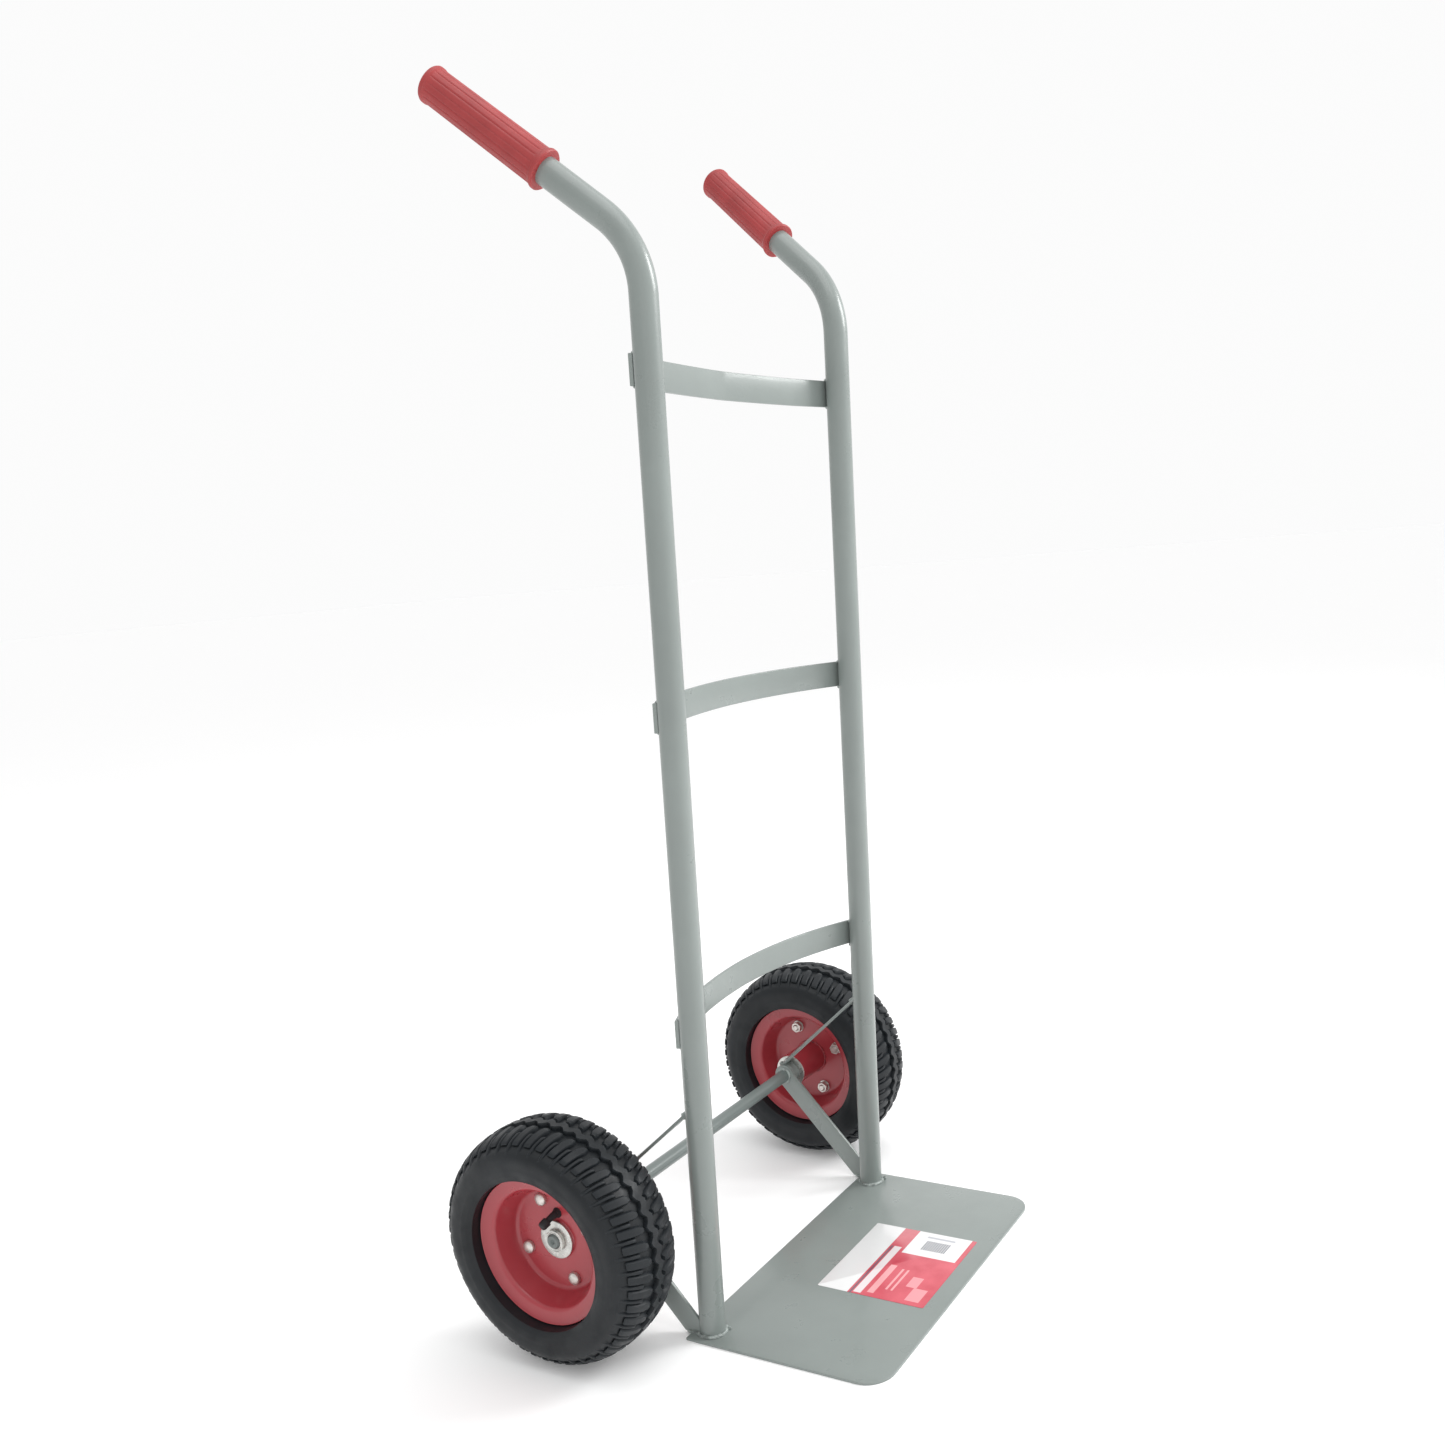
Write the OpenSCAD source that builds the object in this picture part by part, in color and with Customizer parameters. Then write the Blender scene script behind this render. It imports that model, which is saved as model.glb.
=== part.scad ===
// Two-wheel hand truck with a ladder frame, a toe plate and pneumatic wheels.
// Millimetres, +Z up. The origin is on the floor, midway between the feet of the side tubes.
// -Y is the toe plate's side, +Y is the side of the wheels and handles.
// Left (+X) and right (-X) are as seen by the person who holds the handles.

/* [Side tubes] */
// Distance between the centre lines of the two side tubes
tube_spacing = 368; // [320:4:420]
// Outer diameter of the side tubes
tube_d = 28; // [26:0.5:30]
// Wall thickness of the side tubes
tube_wall = 1.5; // [1.2:0.1:2.5]
// Forward lean of the side tubes from upright, in degrees
lean = 2.5; // [0:0.5:4]
// Length of a side tube from the floor to the start of its handle bend
bend_start = 1066; // [1040:2:1120]
// Radius of the handle bend at the centre line
bend_radius = 94; // [80:2:120]
// Angle of the handle bend, in degrees
bend_angle = 51.3; // [45:0.1:60]
// Outward splay of the handles, in degrees
handle_splay = 15.5; // [0:0.5:20]
// Length from the end of the bend to the outer end of the grip
handle_length = 208; // [180:2:240]
// Length of a grip
grip_length = 140; // [120:2:150]

/* [Crossbars] */
// Height of the flat crossbars
bar_height = 30; // [20:1:40]
// Thickness of the flat crossbars
bar_thickness = 4; // [3:0.5:6]
// Height of the middle of the lower crossbar above the floor
lower_bar_z = 340; // [300:2:400]
// Height of the middle of the middle crossbar above the floor
middle_bar_z = 668; // [600:2:720]
// Height of the middle of the upper crossbar above the floor
upper_bar_z = 998; // [940:2:1010]
// Distance of the lower two crossbars behind the tubes' centre lines, at mid-width
bar_bow = 55; // [30:1:60]
// Distance of the upper crossbar behind the tubes' centre lines, at mid-width
upper_bar_bow = 40; // [30:1:60]

/* [Toe plate] */
// Reach of the toe plate in front of the side tubes' centre lines
plate_front = 216; // [160:2:260]
// Reach of the toe plate behind the side tubes' centre lines
plate_back = 20; // [16:1:30]
// Overhang of the toe plate beyond the outer side of each tube
plate_overhang = 8; // [2:1:20]
// Thickness of the toe plate
plate_thickness = 3; // [2:0.5:5]
// Radius of the toe plate's front corners
plate_corner = 30; // [10:1:60]

/* [Axle and braces] */
// Distance of the axle behind the side tubes' centre lines
axle_y = 124; // [118:1:140]
// Diameter of the axle
axle_d = 16; // [15:0.5:16]
// Width of the flat bars that run from the axle down to the toe plate
lower_brace_width = 25; // [20:1:28]
// Thickness of the lower braces
lower_brace_thickness = 4; // [3:0.5:5]
// Height at which the upper braces leave the side tubes
upper_brace_z = 250; // [220:2:290]
// Width of an upper brace at its side tube
upper_brace_width = 20; // [14:1:22]
// Twist of an upper brace along its length, in degrees
upper_brace_twist = 15; // [0:1:20]

/* [Wheels] */
// Diameter of the tyres
wheel_d = 260; // [254:1:270]
// Width of the tyres
tyre_width = 94; // [90:1:96]
// Number of bolts that clamp the two rim halves together
rim_bolt_count = 4; // [3:1:5]
// Radius of the circle that the rim bolts are on
bolt_circle_r = 45; // [44:0.5:48]

/* [Label] */
// Width of the label on the toe plate
label_width = 150; // [100:2:200]
// Depth of the label on the toe plate
label_depth = 132; // [80:2:140]

/* [Hidden] */
$fn = 64;
LEFT = 1;
RIGHT = -1;
FRAME_GREY = [0.50, 0.53, 0.52];
HUB_RED = [0.60, 0.26, 0.28];
ZINC = [0.78, 0.78, 0.76];
TYRE_BLACK = [0.11, 0.12, 0.13];
STEEL = [0.62, 0.63, 0.65];

// Side tubes and grips
tube_r = tube_d / 2;
bend_draw_down = 0.3;
bend_overlap = 0.6; // in degrees
grip_bore_depth = grip_length - 4;
grip_flange_r = tube_r + 6.5;
grip_inner_r = tube_r + 5;
grip_outer_r = tube_r + 3.8;
grip_lip_r = grip_outer_r + 0.6;

// Crossbars: each reaches this much further round than the tube that it is welded to, in degrees
bar_end_reach = 0.35;

// Toe plate and label
plate_half_width = tube_spacing / 2 + tube_r + plate_overhang;
label_thickness = 0.3;
label_corner = 2;
label_centre = [11, -127];

// Axle stack, outward from the side tube: lower brace, collar, inner washer, hub, outer washer, ring
axle_r = axle_d / 2;
slip = 0.05;
side_gap = 0.4;
axle_z = wheel_d / 2;
lower_brace_x = tube_spacing / 2 + 6;
collar_x = lower_brace_x + lower_brace_thickness;
collar_length = 12.6;
collar_r = 14;
washer_thickness = 2;
washer_r = 21;
hub_back = -57;
hub_front = 3.5;
wheel_x = collar_x + collar_length + washer_thickness + side_gap - hub_back;
ring_thickness = 4;
ring_r = 12;
axle_half_length = wheel_x + 12;
axle_chamfer = 1.5;

// Braces
lower_brace_foot_y = 12;
upper_brace_thickness = 3.5;
upper_brace_taper = 0.6;
upper_brace_overlap = 8;
upper_brace_seat = 50; // direction from the axle to the brace's end on the collar, in degrees

// Bearings, 35 mm outside by 11 mm wide
bearing_r = 17.5;
bearing_width = 11;
bearing_places = [hub_back, hub_front - bearing_width];
ball_r = 3;
ball_pitch_r = 12.75;
ball_count = 8;
outer_race_r = 14.6;
inner_race_r = 10.9;
inner_groove_r = ball_r + 0.4;
outer_groove_r = ball_r + slip;
seal_thickness = 0.5;
cage_half_width = 3.6;
cage_wall = 1.2;
spacer_r = 10.5;

// Hub and rim. The rim line is the middle of the sheet, as [radius, distance from mid-plane]
hub_r = 21;
hub_shoulder_r = 16.5;
rim_sheet = 2;
rim_line = [[hub_r, 1], [53.2, 1], [56.6, 2.3], [58.8, 5.4], [66, 28], [80, 30.5]];
rim_seat_r = 67.4;
rim_flange_r = 82;
rim_flange_gap = 54;

// Tyre and inner tube
bead_opening = 30;
carcass_mid_r = (rim_seat_r - 1.2 + wheel_d / 2) / 2;
carcass_half_height = wheel_d / 2 - carcass_mid_r;
tread_wall = 8.5;
cavity_half_height = 20.5;
cavity_mid_r = wheel_d / 2 - tread_wall - cavity_half_height;
cavity_half_width = tyre_width / 2 - 7;
tube_gap = 0.5;
rubber_wall = 2;
section_power = 0.8;
section_points = 40;

// Rim fasteners, M8
bolt_r = 4;
bolt_hole_r = 4.2;
bolt_head_r = 7;
bolt_head_height = 5.5;
bolt_dome_r = 11;
bolt_end = -11.5;
bolt_angle = 22;
rim_washer_r = 8;
rim_washer_thickness = 1.2;
nut_r = 13 / 2 / cos(30);
nut_height = 6.5;

// Valve: a stem through the disc, with a tail that runs outward behind it to the inner tube
valve_angle = -5;
valve_at_r = 29;
valve_r = 4.3;
valve_hole_r = 4.5;
valve_flange_r = 6;
valve_flange_height = 2.5;
valve_front = 17;
tail_z = -7;
tail_r = 3.5;
tail_hole_r = 4;
cap_r = 5.5;
cap_back = 14;
cap_front = 23;

function unit(v) = v / norm(v);
function normal(a, b) = let (d = unit(b - a)) [-d[1], d[0]];
function mitre(line, i) =
    i == 0 ? normal(line[0], line[1])
    : i == len(line) - 1 ? normal(line[i - 1], line[i])
    : let (s = normal(line[i - 1], line[i]) + normal(line[i], line[i + 1])) 2 * s / (s * s);
// Outline of a bent sheet of the given thickness, from the line along its middle
function sheet(line, thickness) = concat(
    [for (i = [0 : len(line) - 1]) line[i] + mitre(line, i) * thickness / 2],
    [for (i = [len(line) - 1 : -1 : 0]) line[i] - mitre(line, i) * thickness / 2]
);
function power(v) = sign(v) * pow(abs(v), section_power);
// Squarish oval, as the section of a tyre
function oval(half_height, half_width) = [
    for (i = [0 : section_points - 1]) let (a = 360 * i / section_points)
        [half_height * power(cos(a)), half_width * power(sin(a))]
];

// Places: the foot of a side tube, the end of its handle bend, and the middle of a wheel
module at_tube(side) {
    translate([side * tube_spacing / 2, 0, 0])
        rotate([lean, 0, 0]) children();
}

module at_bend(side) {
    at_tube(side) translate([0, 0, bend_start]) rotate([0, 0, -side * handle_splay]) children();
}

module at_handle(side) {
    at_bend(side)
        translate([0, bend_radius * (1 - cos(bend_angle)), bend_radius * sin(bend_angle)])
            rotate([-bend_angle, 0, 0]) children();
}

// Local +Z points outward. The left wheel is turned so that its bolts line up with the right one's
module at_wheel(side) {
    translate([side * wheel_x, axle_y, axle_z])
        rotate([0, side * 90, 0])
            rotate([0, 0, side == LEFT ? 90 - 2 * bolt_angle : 0]) children();
}

module at_bolts() {
    for (i = [0 : rim_bolt_count - 1])
        rotate([0, 0, bolt_angle + 360 * i / rim_bolt_count])
            translate([bolt_circle_r, 0, 0]) children();
}

module ring(outer_r, inner_r, height) {
    difference() {
        cylinder(h = height, r = outer_r);
        translate([0, 0, -1]) cylinder(h = height + 2, r = inner_r);
    }
}

// One tube, drawn down a little where it is bent. The bend reaches a little way into both straight runs
module side_tube(side) {
    bend_r = tube_r - bend_draw_down;
    tube_run = handle_length - grip_length + grip_bore_depth;
    color(FRAME_GREY) difference() {
        union() {
            at_tube(side) ring(tube_r, tube_r - tube_wall, bend_start);
            at_bend(side) translate([0, bend_radius, 0]) rotate([90, 0, -90])
                rotate([0, 0, -bend_overlap]) rotate_extrude(angle = bend_angle + 2 * bend_overlap)
                    translate([bend_radius, 0]) difference() {
                        circle(bend_r);
                        circle(bend_r - tube_wall);
                    }
            at_handle(side) ring(tube_r, tube_r - tube_wall, tube_run);
        }
        translate([side * tube_spacing / 2 - tube_d, -tube_d, plate_thickness - 2 * tube_d])
            cube(2 * tube_d);
    }
}

module grip(side) {
    outline = [
        [tube_r, 0], [grip_flange_r - 1, 0], [grip_flange_r, 1], [grip_flange_r, 4],
        [grip_inner_r, 6.5], [grip_outer_r, grip_length - 8], [grip_lip_r, grip_length - 6],
        [grip_lip_r, grip_length - 3], [grip_outer_r - 1.5, grip_length - 0.6],
        [tube_r - 4, grip_length], [0, grip_length], [0, grip_bore_depth], [tube_r, grip_bore_depth]
    ];
    color(HUB_RED) at_handle(side) translate([0, 0, handle_length - grip_length])
        rotate_extrude() polygon(outline);
}

// Flat bar bent to an arc that touches the back of both side tubes
module crossbar(height, bow) {
    sagitta = bow - tube_r;
    arc_centre = (pow(tube_spacing / 2, 2) - pow(sagitta, 2)) / (2 * sagitta);
    half_angle = atan(tube_spacing / 2 / arc_centre) + bar_end_reach;
    color(FRAME_GREY) rotate([lean, 0, 0])
        translate([0, -arc_centre, height / cos(lean) - bar_height / 2])
            rotate([0, 0, 90 - half_angle]) rotate_extrude(angle = 2 * half_angle, $fn = 360)
                translate([arc_centre + bow, 0]) square([bar_thickness, bar_height]);
}

module toe_plate() {
    corner_x = plate_half_width - plate_corner;
    corner_y = -plate_front + plate_corner;
    color(FRAME_GREY) linear_extrude(plate_thickness) {
        translate([-plate_half_width, corner_y])
            square([2 * plate_half_width, plate_back - corner_y]);
        translate([-corner_x, -plate_front]) square([2 * corner_x, plate_corner]);
        for (side = [LEFT, RIGHT]) translate([side * corner_x, corner_y]) circle(plate_corner);
    }
}

module plate_label() {
    corner = [label_width / 2 - label_corner, label_depth / 2 - label_corner];
    color("crimson") translate([label_centre[0], label_centre[1], plate_thickness])
        linear_extrude(label_thickness) {
            square([label_width, 2 * corner[1]], center = true);
            square([2 * corner[0], label_depth], center = true);
            for (x = [-1, 1], y = [-1, 1])
                translate([x * corner[0], y * corner[1]]) circle(label_corner);
        }
}

// Flat bar from the eye round the axle down to the back edge of the toe plate
module lower_brace(side) {
    foot = [lower_brace_foot_y, plate_thickness] - [axle_y, axle_z];
    run = norm(foot) + lower_brace_width;
    eye_r = max(collar_r, lower_brace_width / 2);
    start_x = side == LEFT ? lower_brace_x : -lower_brace_x - lower_brace_thickness;
    color(FRAME_GREY) difference() {
        translate([start_x, axle_y, axle_z]) rotate([90, 0, 90])
            linear_extrude(lower_brace_thickness) difference() {
                union() {
                    circle(eye_r);
                    rotate(atan2(foot[1], foot[0]))
                        translate([0, -lower_brace_width / 2]) square([run, lower_brace_width]);
                }
                circle(axle_r + slip);
            }
        at_tube(side) cylinder(h = axle_z, r = tube_r);
        translate([start_x - 1, -axle_y, plate_thickness - 100])
            cube([lower_brace_thickness + 2, 2 * axle_y, 100]);
    }
}

// Thin strap from the back of the side tube down to the top of the axle collar
module upper_brace(side) {
    tube_back = tube_r / cos(lean) - upper_brace_z * tan(lean);
    start = [side * tube_spacing / 2, tube_back, upper_brace_z];
    seat_r = collar_r - 0.5;
    end = [
        side * (collar_x + collar_length / 2),
        axle_y + seat_r * cos(upper_brace_seat),
        axle_z + seat_r * sin(upper_brace_seat)
    ];
    run = end - start;
    color(FRAME_GREY) difference() {
        translate(start)
            rotate([atan2(-run[1], run[2]), 0, 0]) rotate([0, asin(run[0] / norm(run)), 0])
                translate([0, 0, -upper_brace_overlap])
                    linear_extrude(norm(run) + upper_brace_overlap, twist = upper_brace_twist,
                                   scale = [upper_brace_taper, 1], slices = 8, $fn = 12)
                        square([upper_brace_width, upper_brace_thickness], center = true);
        at_tube(side) cylinder(h = bend_start, r = tube_r);
        translate([side * collar_x, axle_y, axle_z]) rotate([0, side * 90, 0])
            translate([0, 0, -1]) cylinder(h = collar_length + 2, r = collar_r);
    }
}

module axle() {
    outline = [
        [0, -axle_half_length], [axle_r - axle_chamfer, -axle_half_length],
        [axle_r, -axle_half_length + axle_chamfer], [axle_r, axle_half_length - axle_chamfer],
        [axle_r - axle_chamfer, axle_half_length], [0, axle_half_length]
    ];
    color(FRAME_GREY) translate([0, axle_y, axle_z]) rotate([0, 90, 0])
        rotate_extrude() polygon(outline);
}

module axle_collar(side) {
    color(FRAME_GREY) at_wheel(side)
        translate([0, 0, collar_x - wheel_x]) ring(collar_r, axle_r + slip, collar_length);
}

module inner_washers() {
    color(ZINC) for (side = [LEFT, RIGHT]) at_wheel(side)
        translate([0, 0, hub_back - side_gap - washer_thickness])
            ring(washer_r, axle_r + slip, washer_thickness);
}

module outer_washers() {
    color(ZINC) for (side = [LEFT, RIGHT]) at_wheel(side)
        translate([0, 0, hub_front + side_gap]) ring(washer_r, axle_r + slip, washer_thickness);
}

module retaining_rings() {
    color(STEEL) for (side = [LEFT, RIGHT]) at_wheel(side)
        translate([0, 0, hub_front + side_gap + washer_thickness])
            ring(ring_r, axle_r + slip, ring_thickness);
}

// Each inner race stands proud of its hub end, so that the washers clear the turning hub
module bearing_inner_races(side) {
    color(STEEL) at_wheel(side) for (back = bearing_places) difference() {
        translate([0, 0, back == hub_back ? back - side_gap : back])
            ring(inner_race_r, axle_r + slip, bearing_width + side_gap);
        translate([0, 0, back + bearing_width / 2])
            rotate_extrude() translate([ball_pitch_r, 0]) circle(inner_groove_r);
    }
}

module bearing_spacer(side) {
    spacer_back = hub_back + bearing_width;
    color(STEEL) at_wheel(side) translate([0, 0, spacer_back])
        ring(spacer_r, axle_r + slip, hub_front - bearing_width - spacer_back);
}

module tyre(side) {
    color(TYRE_BLACK) at_wheel(side) rotate_extrude() difference() {
        translate([carcass_mid_r, 0]) polygon(oval(carcass_half_height, tyre_width / 2));
        translate([cavity_mid_r, 0]) polygon(oval(cavity_half_height, cavity_half_width));
        translate([0, -tyre_width / 2]) square([rim_seat_r, tyre_width]);
        translate([0, -bead_opening / 2]) square([carcass_mid_r, bead_opening]);
        for (z = [rim_flange_gap / 2, -tyre_width])
            translate([0, z]) square([rim_flange_r, tyre_width - rim_flange_gap / 2]);
    }
}

module inner_tube(side) {
    color("dimgray") at_wheel(side) rotate_extrude() translate([cavity_mid_r, 0]) difference() {
        polygon(oval(cavity_half_height - tube_gap, cavity_half_width - tube_gap));
        polygon(oval(cavity_half_height - tube_gap - rubber_wall,
                     cavity_half_width - tube_gap - rubber_wall));
    }
}

module rim_half() {
    difference() {
        rotate_extrude() polygon(sheet(rim_line, rim_sheet));
        at_bolts() translate([0, 0, -1]) cylinder(h = 10, r = bolt_hole_r);
        rotate([0, 0, valve_angle]) translate([valve_at_r, 0, -1]) cylinder(h = 10, r = valve_hole_r);
    }
}

module rim_outer(side) {
    color(HUB_RED) at_wheel(side) rim_half();
}

// The inner half is bored for the valve's tail. Its holes line up with the outer half's
module rim_inner(side) {
    color(HUB_RED) at_wheel(side) difference() {
        mirror([0, 0, 1]) rim_half();
        rotate([0, 0, valve_angle]) translate([50, 0, tail_z]) rotate([0, 90, 0])
            cylinder(h = 15, r = tail_hole_r);
    }
}

module hub_sleeve(side) {
    color(HUB_RED) at_wheel(side) translate([0, 0, hub_back]) difference() {
        cylinder(h = hub_front - hub_back, r = hub_r);
        translate([0, 0, -1]) cylinder(h = hub_front - hub_back + 2, r = hub_shoulder_r);
        translate([0, 0, -1]) cylinder(h = bearing_width + 1, r = bearing_r);
        translate([0, 0, hub_front - hub_back - bearing_width])
            cylinder(h = bearing_width + 1, r = bearing_r);
    }
}

module bearing_outer_races(side) {
    color(STEEL) at_wheel(side) for (back = bearing_places) difference() {
        translate([0, 0, back]) ring(bearing_r, outer_race_r, bearing_width);
        translate([0, 0, back + bearing_width / 2])
            rotate_extrude() translate([ball_pitch_r, 0]) circle(outer_groove_r);
    }
}

module at_balls() {
    for (back = bearing_places, i = [0 : ball_count - 1])
        rotate([0, 0, 360 * i / ball_count])
            translate([ball_pitch_r, 0, back + bearing_width / 2]) children();
}

module bearing_balls(side) {
    color("silver") at_wheel(side) at_balls() sphere(ball_r);
}

module bearing_cages(side) {
    color("darkkhaki") at_wheel(side) difference() {
        for (back = bearing_places)
            translate([0, 0, back + bearing_width / 2 - cage_half_width])
                ring(ball_pitch_r + cage_wall / 2, ball_pitch_r - cage_wall / 2, 2 * cage_half_width);
        at_balls() rotate([0, 90, 0]) cylinder(h = 2 * cage_wall, r = ball_r + slip, center = true);
    }
}

module bearing_seals(side) {
    color("black") at_wheel(side) for (back = bearing_places, front = [0, 1])
        translate([0, 0, back + front * (bearing_width - seal_thickness)])
            ring(outer_race_r, inner_race_r + side_gap, seal_thickness);
}

module rim_bolts(side) {
    color(ZINC) at_wheel(side) at_bolts() {
        translate([0, 0, bolt_end]) cylinder(h = rim_sheet - bolt_end + 1, r = bolt_r);
        rotate_extrude() intersection() {
            translate([0, rim_sheet]) square([bolt_head_r, bolt_head_height]);
            translate([0, rim_sheet + bolt_head_height - bolt_dome_r]) circle(bolt_dome_r);
        }
    }
}

module rim_washers(side) {
    color(ZINC) at_wheel(side) at_bolts()
        translate([0, 0, -rim_sheet - rim_washer_thickness])
            ring(rim_washer_r, bolt_hole_r, rim_washer_thickness);
}

module rim_nuts(side) {
    color(ZINC) at_wheel(side) at_bolts()
        translate([0, 0, -rim_sheet - rim_washer_thickness - nut_height]) difference() {
            cylinder(h = nut_height, r = nut_r, $fn = 6);
            translate([0, 0, -1]) cylinder(h = nut_height + 2, r = bolt_r + slip);
        }
}

module valve_stem(side) {
    tail_end = cavity_mid_r - cavity_half_height + tube_gap;
    color(TYRE_BLACK) at_wheel(side) rotate([0, 0, valve_angle]) {
        translate([valve_at_r, 0, tail_z]) cylinder(h = valve_front - tail_z, r = valve_r);
        translate([valve_at_r, 0, rim_sheet]) cylinder(h = valve_flange_height, r = valve_flange_r);
        translate([valve_at_r, 0, tail_z]) sphere(valve_r);
        translate([valve_at_r, 0, tail_z]) rotate([0, 90, 0])
            cylinder(h = tail_end - valve_at_r, r = tail_r);
    }
}

module valve_cap(side) {
    color("black") at_wheel(side) rotate([0, 0, valve_angle]) translate([valve_at_r, 0, 0])
        difference() {
            translate([0, 0, cap_back]) cylinder(h = cap_front - cap_back, r = cap_r);
            cylinder(h = valve_front, r = valve_r);
        }
}

side_tube(LEFT);  // side_tube_left
side_tube(RIGHT);  // side_tube_right
grip(LEFT);  // grip_left
grip(RIGHT);  // grip_right
crossbar(upper_bar_z, upper_bar_bow);  // crossbar_upper
crossbar(middle_bar_z, bar_bow);  // crossbar_middle
crossbar(lower_bar_z, bar_bow);  // crossbar_lower
toe_plate();
plate_label();
lower_brace(LEFT);  // lower_brace_left
lower_brace(RIGHT);  // lower_brace_right
upper_brace(LEFT);  // upper_brace_left
upper_brace(RIGHT);  // upper_brace_right
axle();
axle_collar(LEFT);  // axle_collar_left
axle_collar(RIGHT);  // axle_collar_right
inner_washers();
outer_washers();
retaining_rings();
bearing_inner_races(LEFT);  // bearing_inner_races_left
bearing_inner_races(RIGHT);  // bearing_inner_races_right
bearing_spacer(LEFT);  // bearing_spacer_left
bearing_spacer(RIGHT);  // bearing_spacer_right
tyre(LEFT);  // tyre_left
tyre(RIGHT);  // tyre_right
inner_tube(LEFT);  // inner_tube_left
inner_tube(RIGHT);  // inner_tube_right
rim_outer(LEFT);  // rim_outer_left
rim_outer(RIGHT);  // rim_outer_right
rim_inner(LEFT);  // rim_inner_left
rim_inner(RIGHT);  // rim_inner_right
hub_sleeve(LEFT);  // hub_sleeve_left
hub_sleeve(RIGHT);  // hub_sleeve_right
bearing_outer_races(LEFT);  // bearing_outer_races_left
bearing_outer_races(RIGHT);  // bearing_outer_races_right
bearing_balls(LEFT);  // bearing_balls_left
bearing_balls(RIGHT);  // bearing_balls_right
bearing_cages(LEFT);  // bearing_cages_left
bearing_cages(RIGHT);  // bearing_cages_right
bearing_seals(LEFT);  // bearing_seals_left
bearing_seals(RIGHT);  // bearing_seals_right
rim_bolts(LEFT);  // rim_bolts_left
rim_bolts(RIGHT);  // rim_bolts_right
rim_washers(LEFT);  // rim_washers_left
rim_washers(RIGHT);  // rim_washers_right
rim_nuts(LEFT);  // rim_nuts_left
rim_nuts(RIGHT);  // rim_nuts_right
valve_stem(LEFT);  // valve_stem_left
valve_stem(RIGHT);  // valve_stem_right
valve_cap(LEFT);  // valve_cap_left
valve_cap(RIGHT);  // valve_cap_right
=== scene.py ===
from math import acos, asin, atan, atan2, cos, hypot, pi, radians, sin, sqrt, tan

import bmesh
import bpy
from mathutils import Matrix, Vector


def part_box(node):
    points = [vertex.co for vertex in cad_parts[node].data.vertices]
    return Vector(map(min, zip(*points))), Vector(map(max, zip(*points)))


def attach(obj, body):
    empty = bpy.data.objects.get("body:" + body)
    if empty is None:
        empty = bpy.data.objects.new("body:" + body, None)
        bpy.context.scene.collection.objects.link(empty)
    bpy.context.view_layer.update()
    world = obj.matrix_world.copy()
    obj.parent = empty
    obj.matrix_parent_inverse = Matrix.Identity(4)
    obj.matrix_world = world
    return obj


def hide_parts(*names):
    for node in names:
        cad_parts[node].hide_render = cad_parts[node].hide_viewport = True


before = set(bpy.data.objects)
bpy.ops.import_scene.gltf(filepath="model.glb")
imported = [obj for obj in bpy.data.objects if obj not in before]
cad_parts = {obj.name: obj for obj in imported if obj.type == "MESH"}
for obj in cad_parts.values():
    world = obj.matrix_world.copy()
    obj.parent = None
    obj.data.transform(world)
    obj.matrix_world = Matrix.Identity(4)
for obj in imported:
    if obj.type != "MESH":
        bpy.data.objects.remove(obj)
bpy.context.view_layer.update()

# Hand truck. Shapes are worked out in millimetres, in the frame's own axes: +Z up, -Y the toe
# plate's side, +X left. Every mesh is stored in metres.

LEFT = 1
RIGHT = -1
SIDES = ((LEFT, "left"), (RIGHT, "right"))
FRAME = "frame"


# ---------------------------------------------------------------- sizes, as in the CAD model

def box_mm(node):
    """Lowest and highest corner of a CAD node, in millimetres."""
    low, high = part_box(node)
    return low * 1000, high * 1000


PLATE_LOW, PLATE_HIGH = box_mm("toe_plate")
LABEL_LOW, LABEL_HIGH = box_mm("plate_label")
TYRE_LOW, TYRE_HIGH = box_mm("tyre_left")
AXLE_LOW, AXLE_HIGH = box_mm("axle")

PLATE_TOP = PLATE_HIGH.z
WHEEL = (TYRE_LOW + TYRE_HIGH) / 2
WHEEL_R = (TYRE_HIGH.z - TYRE_LOW.z) / 2
TYRE_HALF_WIDTH = (TYRE_HIGH.x - TYRE_LOW.x) / 2

TUBE_X = 184
TUBE_R = 14
LEAN = radians(2.5)
BEND_START = 1066
BEND_R = 94
BEND_ANGLE = radians(51.3)
SPLAY = radians(15.5)
HANDLE_LENGTH = 208
GRIP_LENGTH = 140
GRIP_BORE = 136
BAR_HEIGHT = 30
BAR_THICKNESS = 4
BARS = (("upper", 998, 40), ("middle", 668, 55), ("lower", 340, 55))
BRACE_X = 190
BRACE_WIDTH = 25
BRACE_THICKNESS = 4
BRACE_FOOT_Y = 12
STRAP_WIDTH = 20
STRAP_THICKNESS = 3.5
STRAP_TOP = 250
STRAP_SEAT = radians(50)
STRAP_TWIST = radians(15)
STRAP_OVERLAP = 8
COLLAR_X = 194
COLLAR_LENGTH = 12.6
COLLAR_R = 14
AXLE_R = 8
WASHER_R = 21
WASHER_THICKNESS = 2
END_PLAY = 0.4
SHAFT_RING_R = 12
SHAFT_RING_LENGTH = 4
HUB_R = 21
HUB_BACK = -57
HUB_FRONT = 3.5
RIM_SEAT_R = 67.4
BEAD_OPENING = 30
SIDE_WALL = 7
CAVITY_MID_R = 101
CAVITY_HALF_HEIGHT = 20.5
CAVITY_REACH = pi - 0.55
RIM_FLANGE_R = 82
RIM_FLANGE_GAP = 54
RIM_SHEET = 2.0
BEAD_SEAT_LIP = 1.2
BOLT_ANGLE = radians(22)
BOLT_CIRCLE_R = 45
VALVE_ANGLE = radians(-5)
CAP_RIBS = 18


# ---------------------------------------------------------------- places

def turn(angle, axis):
    return Matrix.Rotation(angle, 4, axis)


def shift(x, y, z):
    return Matrix.Translation((x, y, z))


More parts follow.
